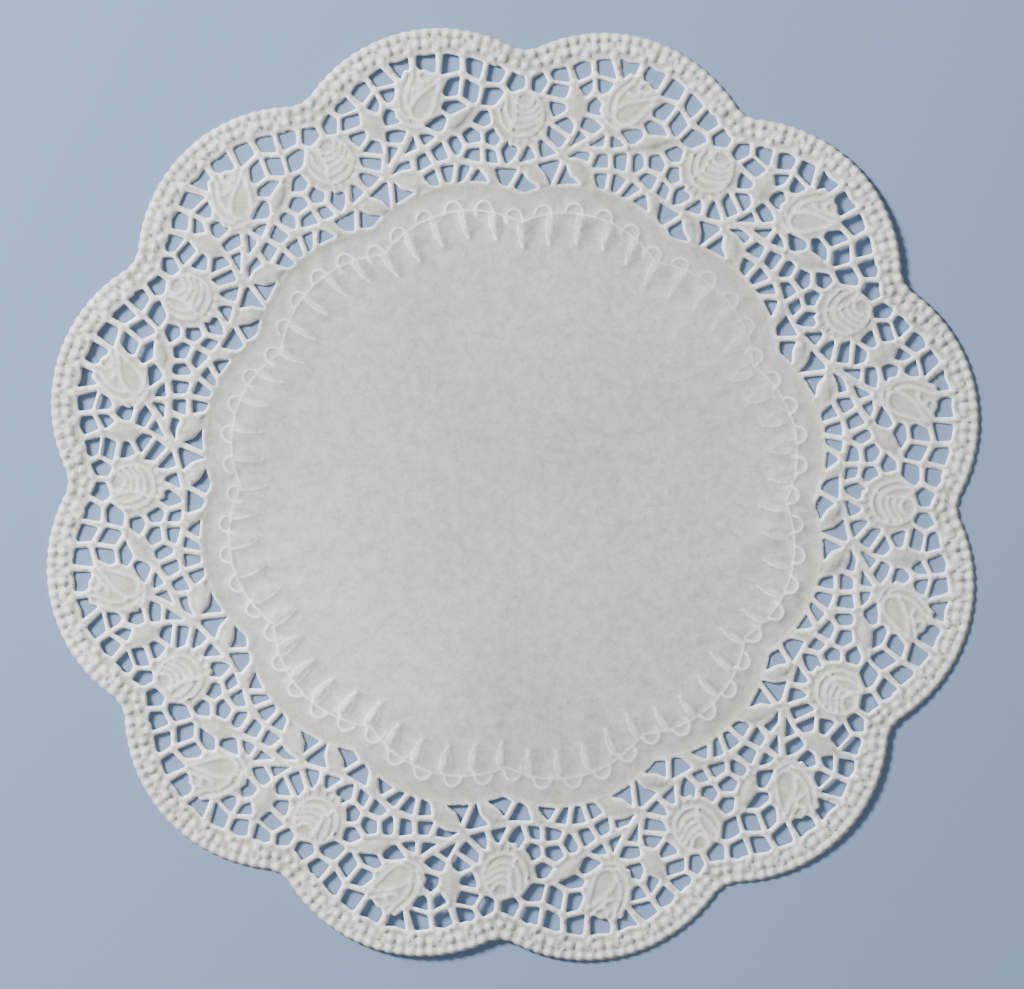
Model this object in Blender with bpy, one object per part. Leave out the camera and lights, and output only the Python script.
"""A round lace doily, die-cut and embossed from one sheet of paper, lying flat.

The doily is one piece: a round sheet with twelve lobes, a lace ring of vines, leaves, buds and
roses, and a plain centre. Twelve equal repeats make the ring, each turned by a twelfth of a turn.
The real paper is about a tenth of a millimetre thick; this solid is one millimetre thick, with
the lace's larger holes cut through and its flowers, leaves and rims raised on its upper side.

The sheet lies on z = 0 with its middle at the origin. One lobe points along +Y.
"""

from math import atan2, cos, pi, sin, sqrt

import bmesh
import bpy
from mathutils import Vector
from mathutils.geometry import delaunay_2d_cdt

MM = 0.001

# Driving dimensions of the whole sheet.
TIP_TO_TIP = 360 * MM
REPEATS = 12
SHEET_THICKNESS = 1 * MM
LOBE_RADIUS = 59.7 * MM  # each lobe's edge is an arc of this radius
VALLEY_FILLET = 12 * MM  # the round where two lobes meet
SCALLOPS_PER_LOBE = 23
SCALLOP_DEPTH = 0.45 * MM
DISC_LOBE_RADIUS = 47.7 * MM  # the plain centre has shallower lobes of its own
DISC_TIP_RADIUS = 120.7 * MM

# Heights of the embossing above the flat sheet.
RIM_HEIGHT = 0.3 * MM
LEAF_HEIGHT = 0.35 * MM
BUD_HEIGHT = 0.5 * MM
ROSE_HEIGHT = 0.5 * MM

REPEAT_ANGLE = 2 * pi / REPEATS
LOBE_CENTRE = TIP_TO_TIP / 2 - LOBE_RADIUS
DISC_LOBE_CENTRE = DISC_TIP_RADIUS - DISC_LOBE_RADIUS

# The chart of one repeat, in millimetres: x to the right, y out from the doily's middle through
# the lobe's tip. A row is one punch of the die and its corners in order, clockwise from the left.
# These are the 25 largest holes, since a solid of this kind takes 300 in all. Row A lies against the border, row B between the vines and
# row C against the plain centre.
PUNCH_CORNERS = {
    "A1": ((-38, 153), (-35, 156), (-32, 153.5), (-33.5, 148.5), (-37, 149)),
    "A2": ((-32, 157), (-31, 159), (-27, 161), (-24, 156), (-30, 155)),
    "A3": ((-24.5, 162), (-22, 164.5), (-18.5, 165), (-17, 161), (-21, 157.5)),
    "A4": ((-16.5, 166.5), (-11.5, 168.5), (-7.5, 162), (-14.5, 162)),
    "A5": ((-8, 169.5), (-0.5, 170), (-1, 165.5), (-3, 166), (-5, 163)),
    "A6": ((2.5, 166.5), (3, 170), (10, 169), (8.5, 162.5), (5, 164.5)),
    "A7": ((10.5, 161), (13, 168), (18.5, 166), (17.5, 161)),
    "A8": ((20, 159.5), (21, 164.5), (22.5, 164.5), (27, 161.5), (24, 156)),
    "A9": ((26.5, 154.5), (29, 160.5), (32.5, 159), (34.5, 156.5), (31.5, 153)),
    "A10": ((33.5, 151.5), (37, 155.5), (41, 152.5), (40, 149), (35, 148.5)),
    "B1": ((-31, 149), (-30, 153.5), (-23.5, 154), (-24, 149.5)),
    "B6": ((-15.5, 141), (-15, 144.5), (-11, 144.5), (-7.5, 143), (-10, 139.5)),
    "B8": ((-27, 137.5), (-19, 135), (-20.5, 131), (-26.5, 134)),
    "B14": ((0, 143.5), (4.5, 145.5), (7.5, 146), (8.5, 144), (5.5, 140.5)),
    "B15": ((7.5, 148.5), (9, 150.5), (14, 150), (17, 147), (10.5, 145.5)),
    "B16": ((9.5, 154.5), (12.5, 158.5), (17, 158.5), (14.5, 152), (10, 152.5)),
    "B17": ((16.5, 151), (19, 157), (23.5, 153), (20.5, 147.5)),
    "B18": ((22.5, 146.5), (25.5, 152), (30.5, 151), (32, 149), (27, 145)),
    "B19": ((18, 141), (21.5, 144), (24.5, 143.5), (24.5, 139), (21.5, 138)),
    "B20": ((13, 137.5), (16.5, 139), (19.5, 136), (19, 133), (14, 133.5)),
    "B23": ((0, 134), (4.5, 136), (5.5, 130), (4.5, 129), (1.5, 129.5)),
    "B28": ((26, 128), (29, 130.5), (29, 128.5), (32, 127), (26.5, 122.5)),
    "C1": ((-26.5, 122.5), (-20.5, 126), (-19, 126), (-20, 116), (-22.5, 120)),
    "C7": ((22, 121.5), (30, 119.5), (25, 114), (22.5, 116)),
    "C8": ((27.5, 113), (31.5, 117.5), (36, 111), (30.5, 110.5)),
}

# The raised leaves of one repeat, in millimetres on the same chart: where each one's middle rib
# starts and ends.
LEAF_RIBS = {
    "beside the bud": {"start": (-21.5, 156), "end": (-17, 140)},
    "under the bud": {"start": (4, 138.5), "end": (19.5, 147)},
    "on the vine": {"start": (-18, 127), "end": (-5, 121.5)},
    "left on the rim": {"start": (-32.5, 120), "end": (-21.5, 115)},
    "right on the rim": {"start": (18, 125), "end": (20.5, 116)},
}

# The raised flowers, in millimetres on the same chart: middle, and half of width and height.
BUD = {"middle": (0, 154), "half_width": 8, "half_height": 8.5}
ROSE = {"middle": (36, 138.5), "half_width": 9.3, "half_height": 9.3}


def turned(point, repeat):
    """A point of the first repeat, carried round to another one."""
    angle = repeat * REPEAT_ANGLE
    x, y = point
    return (x * cos(angle) + y * sin(angle), y * cos(angle) - x * sin(angle))


def from_chart(point):
    return (point[0] * MM, point[1] * MM)


def edge_radius(angle):
    """How far the smooth edge lies from the middle, at an angle from the lobe's tip."""
    half = REPEAT_ANGLE / 2
    # The valley's round touches both lobes, so its centre lies on the line between them.
    reach = LOBE_RADIUS + VALLEY_FILLET
    fillet_centre = LOBE_CENTRE * cos(half) + sqrt(reach**2 - (LOBE_CENTRE * sin(half)) ** 2)
    touch_x = fillet_centre * sin(half) * LOBE_RADIUS / reach
    touch_y = LOBE_CENTRE + (fillet_centre * cos(half) - LOBE_CENTRE) * LOBE_RADIUS / reach
    if abs(angle) < atan2(touch_x, touch_y):
        across = LOBE_CENTRE * sin(angle)
        return LOBE_CENTRE * cos(angle) + sqrt(LOBE_RADIUS**2 - across**2)
    across = fillet_centre * sin(half - abs(angle))
    return fillet_centre * cos(half - abs(angle)) - sqrt(VALLEY_FILLET**2 - across**2)


def polar(radius, angle):
    return (radius * sin(angle), radius * cos(angle))


def scalloped_edge():
    """One lobe's edge from valley to valley: a notch and a crest for each small scallop."""
    fine_steps = 600
    angles = [REPEAT_ANGLE * (i / fine_steps - 0.5) for i in range(fine_steps + 1)]
    line = [Vector(polar(edge_radius(angle), angle)) for angle in angles]
    run = [0.0]
    for before, after in zip(line, line[1:]):
        run.append(run[-1] + (after - before).length)
    points = []
    step = 0
    for scallop in range(SCALLOPS_PER_LOBE):
        for share, depth in ((0.0, SCALLOP_DEPTH), (0.5, 0.0)):
            wanted = run[-1] * (scallop + share) / SCALLOPS_PER_LOBE
            while run[step + 1] < wanted:
                step += 1
            along = (line[step + 1] - line[step]).normalized()
            inward = Vector((along.y, -along.x))
            points.append(tuple(line[step] + along * (wanted - run[step]) + inward * depth))
    return points


def flower_points(flower, rings):
    """Rings of points on a flower: each ring is a share of its size, a count and a height."""
    x, y = from_chart(flower["middle"])
    points = [(x, y, rings[-1]["height"])]
    for ring in rings:
        for i in range(ring["count"]):
            angle = 2 * pi * i / ring["count"]
            across = flower["half_width"] * MM * ring["share"] * cos(angle)
            up = flower["half_height"] * MM * ring["share"] * sin(angle)
            points.append((x + across, y + up, ring["height"]))
    return points


def leaf_points(rib):
    """Three raised points along a leaf's middle rib."""
    start, end = Vector(from_chart(rib["start"])), Vector(from_chart(rib["end"]))
    points = []
    for share, height in ((0.25, 0.7), (0.5, 1.0), (0.75, 0.7)):
        x, y = start.lerp(end, share)
        points.append((x, y, LEAF_HEIGHT * height))
    return points


def rim_points():
    """The plain centre's raised rim: a low ridge that follows its shallow lobes."""
    points = []
    steps = 7
    for inset, height in ((1.2 * MM, RIM_HEIGHT), (2.8 * MM, 0.0)):
        for i in range(steps):
            angle = REPEAT_ANGLE * ((i + 0.5) / steps - 0.5)
            across = DISC_LOBE_CENTRE * sin(angle)
            radius = DISC_LOBE_CENTRE * cos(angle) + sqrt(DISC_LOBE_RADIUS**2 - across**2)
            points.append((*polar(radius - inset, angle), height))
    return points


def embossing():
    """All raised points of one repeat, as x, y and height above the flat sheet."""
    rose_rings = (
        {"share": 1.0, "count": 10, "height": 0.0},
        {"share": 0.8, "count": 8, "height": ROSE_HEIGHT * 0.8},
        {"share": 0.4, "count": 5, "height": ROSE_HEIGHT},
    )
    bud_rings = (
        {"share": 1.0, "count": 8, "height": 0.0},
        {"share": 0.6, "count": 5, "height": BUD_HEIGHT},
    )
    points = flower_points(ROSE, rose_rings) + flower_points(BUD, bud_rings)
    for rib in LEAF_RIBS.values():
        points += leaf_points(rib)
    return points + rim_points()


def lace_sheet():
    """The whole sheet as a mesh: its flat face is cut out, thickened, and its top embossed."""
    outline, holes, raised = [], [], []
    for repeat in range(REPEATS):
        outline += [turned(point, repeat) for point in scalloped_edge()]
        for corners in PUNCH_CORNERS.values():
            holes.append([turned(from_chart(corner), repeat) for corner in corners])
        raised += [(*turned((x, y), repeat), height) for x, y, height in embossing()]

    flat, loops = [], []
    for loop in (outline, *holes):
        loops.append(list(range(len(flat), len(flat) + len(loop))))
        flat += reversed(loop)  # the chart goes clockwise, and Blender's loops the other way
    flat += [(x, y) for x, y, _ in raised]
    triangles_inside = 1
    found = delaunay_2d_cdt([Vector(p) for p in flat], [], loops, triangles_inside, 1e-7)
    corners, faces, made_from, in_loops = found[0], found[2], found[3], found[5]
    height_of = dict(enumerate((height for _, _, height in raised), len(flat) - len(raised)))

    bm = bmesh.new()
    floor = [bm.verts.new((x, y, 0)) for x, y in corners]
    for face, around in zip(faces, in_loops):
        if around == [0]:  # inside the outline and in no hole
            bm.faces.new([floor[i] for i in face])
    bmesh.ops.delete(bm, geom=[v for v in floor if not v.link_faces], context="VERTS")
    top = bmesh.ops.extrude_face_region(bm, geom=bm.faces[:])
    lifted = [item for item in top["geom"] if isinstance(item, bmesh.types.BMVert)]
    heights = {}
    for (x, y), sources in zip(corners, made_from):
        heights[round(x, 7), round(y, 7)] = max(height_of.get(i, 0) for i in sources)
    for vert in lifted:
        vert.co.z = SHEET_THICKNESS + heights.get((round(vert.co.x, 7), round(vert.co.y, 7)), 0)
    bmesh.ops.recalc_face_normals(bm, faces=bm.faces[:])
    mesh = bpy.data.meshes.new("doily")
    bm.to_mesh(mesh)
    bm.free()
    return mesh


def paper():
    material = bpy.data.materials.new("white paper")
    material.use_nodes = True
    shader = material.node_tree.nodes["Principled BSDF"]
    shader.inputs["Base Color"].default_value = (0.80, 0.79, 0.77, 1)
    shader.inputs["Roughness"].default_value = 0.9
    shader.inputs["Metallic"].default_value = 0
    return material


def main():
    for thing in list(bpy.data.objects):
        bpy.data.objects.remove(thing)
    doily = bpy.data.objects.new("doily", lace_sheet())
    doily.data.materials.append(paper())
    bpy.context.scene.collection.objects.link(doily)
    print(len(doily.data.polygons), "faces, reach", TIP_TO_TIP)


main()
